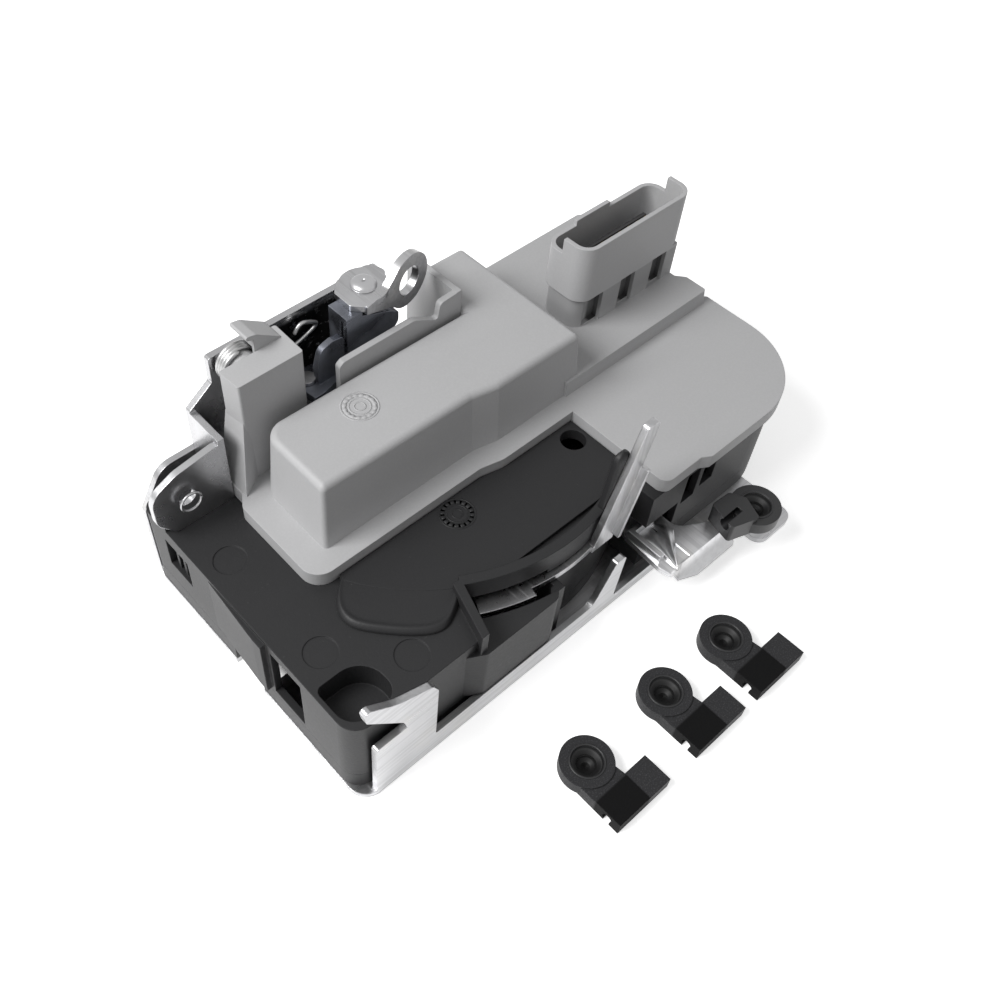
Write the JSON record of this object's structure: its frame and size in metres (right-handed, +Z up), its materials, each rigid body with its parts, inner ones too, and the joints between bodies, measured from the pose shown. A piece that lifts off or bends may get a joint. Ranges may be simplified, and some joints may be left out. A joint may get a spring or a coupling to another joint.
{
  "type": "door latch actuator",
  "caption": "Vehicle door latch on a folded steel plate, with black case, grey motor cover, connector, levers and loose rod clips.",
  "frame": {"origin": "centre of the first fixing hole on the mounting face of the steel plate", "axes": "+X along the latch from the striker end to the connector end, +Y from the lever side at the front to the bracket side at the back, +Z up out of the mounting face"},
  "size_m": [0.187, 0.1484, 0.0821],
  "materials": {
    "zinc_steel": "bright zinc plated sheet steel",
    "case_black": "black moulded plastic",
    "cover_grey": "grey moulded plastic",
    "dark_steel": "dark phosphated steel",
    "spring_steel": "oiled spring wire",
    "pin_steel": "turned steel",
    "bumper_rubber": "soft black rubber",
    "clip_black": "black moulded plastic",
    "header_black": "black moulded plastic",
    "contact_brass": "pressed brass",
    "motor_steel": "plated motor can",
    "gear_white": "natural moulded plastic"
  },
  "bodies": {
    "latch": {"latch_plate": "zinc_steel", "claw_pin": "pin_steel", "pawl_pin": "pin_steel", "claw_bumper": "bumper_rubber", "claw_spring": "spring_steel", "pawl_spring": "spring_steel", "lower_case": "case_black", "upper_case": "case_black", "lock_lever_pin": "pin_steel", "actuator_cover": "cover_grey", "terminal_header": "header_black", "connector_pins": "contact_brass", "support_bracket": "zinc_steel", "lever_rivet": "pin_steel", "lift_lever_post": "pin_steel", "return_spring": "spring_steel", "inside_lever_pin": "pin_steel", "spare_clip_1": "clip_black", "spare_clip_2": "clip_black", "spare_clip_3": "clip_black", "motor_can": "motor_steel", "motor_cap": "gear_white", "wheel_axle": "pin_steel", "lead_frame": "contact_brass", "ajar_switch": "header_black", "lock_switch": "header_black"},
    "claw": {"claw": "dark_steel"},
    "pawl": {"pawl": "dark_steel"},
    "release_lever": {"release_lever": "zinc_steel", "relay_plate": "dark_steel"},
    "lift_lever": {"lift_lever": "dark_steel"},
    "inside_lever": {"inside_lever": "zinc_steel"},
    "rod_clip": {"rod_clip": "clip_black"},
    "lock_lever": {"lock_lever": "zinc_steel"},
    "worm_wheel": {"worm_wheel": "gear_white"},
    "motor_armature": {"motor_armature": "pin_steel"},
    "ajar_switch_button": {"ajar_switch_button": "gear_white"},
    "lock_switch_button": {"lock_switch_button": "gear_white"}
  },
  "joints": [
    {"name": "claw_turn", "type": "hinge", "parent": "latch", "child": "claw", "pos_m": [0.02, 0.021, 0.0056], "axis": [0, 0, 1], "range_deg": [-50, 0]},
    {"name": "release_lever_turn", "type": "hinge", "parent": "latch", "child": "release_lever", "pos_m": [0.059, 0.0736, 0.07575], "axis": [0, 0, 1], "range_deg": [0, 15]},
    {"name": "lift_lever_turn", "type": "hinge", "parent": "latch", "child": "lift_lever", "pos_m": [0.036, 0.071, 0.055], "axis": [0, 0, 1], "range_deg": [-15, 0]},
    {"name": "pawl_turn", "type": "hinge", "parent": "latch", "child": "pawl", "pos_m": [0.0176, 0.05, 0.0056], "axis": [0, 0, 1], "range_deg": [0, 10]},
    {"name": "inside_lever_turn", "type": "hinge", "parent": "latch", "child": "inside_lever", "pos_m": [0.1005, -0.002, 0.015], "axis": [0, 0, 1], "range_deg": [0, 12]},
    {"name": "rod_clip_turn", "type": "hinge", "parent": "inside_lever", "child": "rod_clip", "pos_m": [0.1256, -0.0276, 0.017], "axis": [0, 0, 1], "range_deg": [-15, 15]},
    {"name": "lock_lever_turn", "type": "hinge", "parent": "latch", "child": "lock_lever", "pos_m": [0.064, 0.056, 0.0286], "axis": [0, 0, 1], "range_deg": [-16, 0]},
    {"name": "worm_wheel_turn", "type": "hinge", "parent": "latch", "child": "worm_wheel", "pos_m": [0.0952, 0.0572, 0.048], "axis": [0, 0, 1], "range_deg": [0, 48]},
    {"name": "motor_turn", "type": "hinge", "parent": "latch", "child": "motor_armature", "pos_m": [0.065, 0.046, 0.048], "axis": [1, 0, 0], "range_deg": [-1152, 0]},
    {"name": "ajar_button_press", "type": "slide", "parent": "latch", "child": "ajar_switch_button", "axis": [0, 1, 0], "range_m": [0, 0.0008], "stiffness_N_per_m": 200},
    {"name": "lock_button_press", "type": "slide", "parent": "latch", "child": "lock_switch_button", "axis": [0, 1, 0], "range_m": [0, 0.0008], "stiffness_N_per_m": 200}
  ],
  "couplings": [
    {"joint": "lift_lever_turn", "follows": "release_lever_turn", "ratio": -1},
    {"joint": "pawl_turn", "follows": "release_lever_turn", "ratio": 0.66667},
    {"joint": "worm_wheel_turn", "follows": "lock_lever_turn", "ratio": -3},
    {"joint": "motor_turn", "follows": "lock_lever_turn", "ratio": 72}
  ]
}
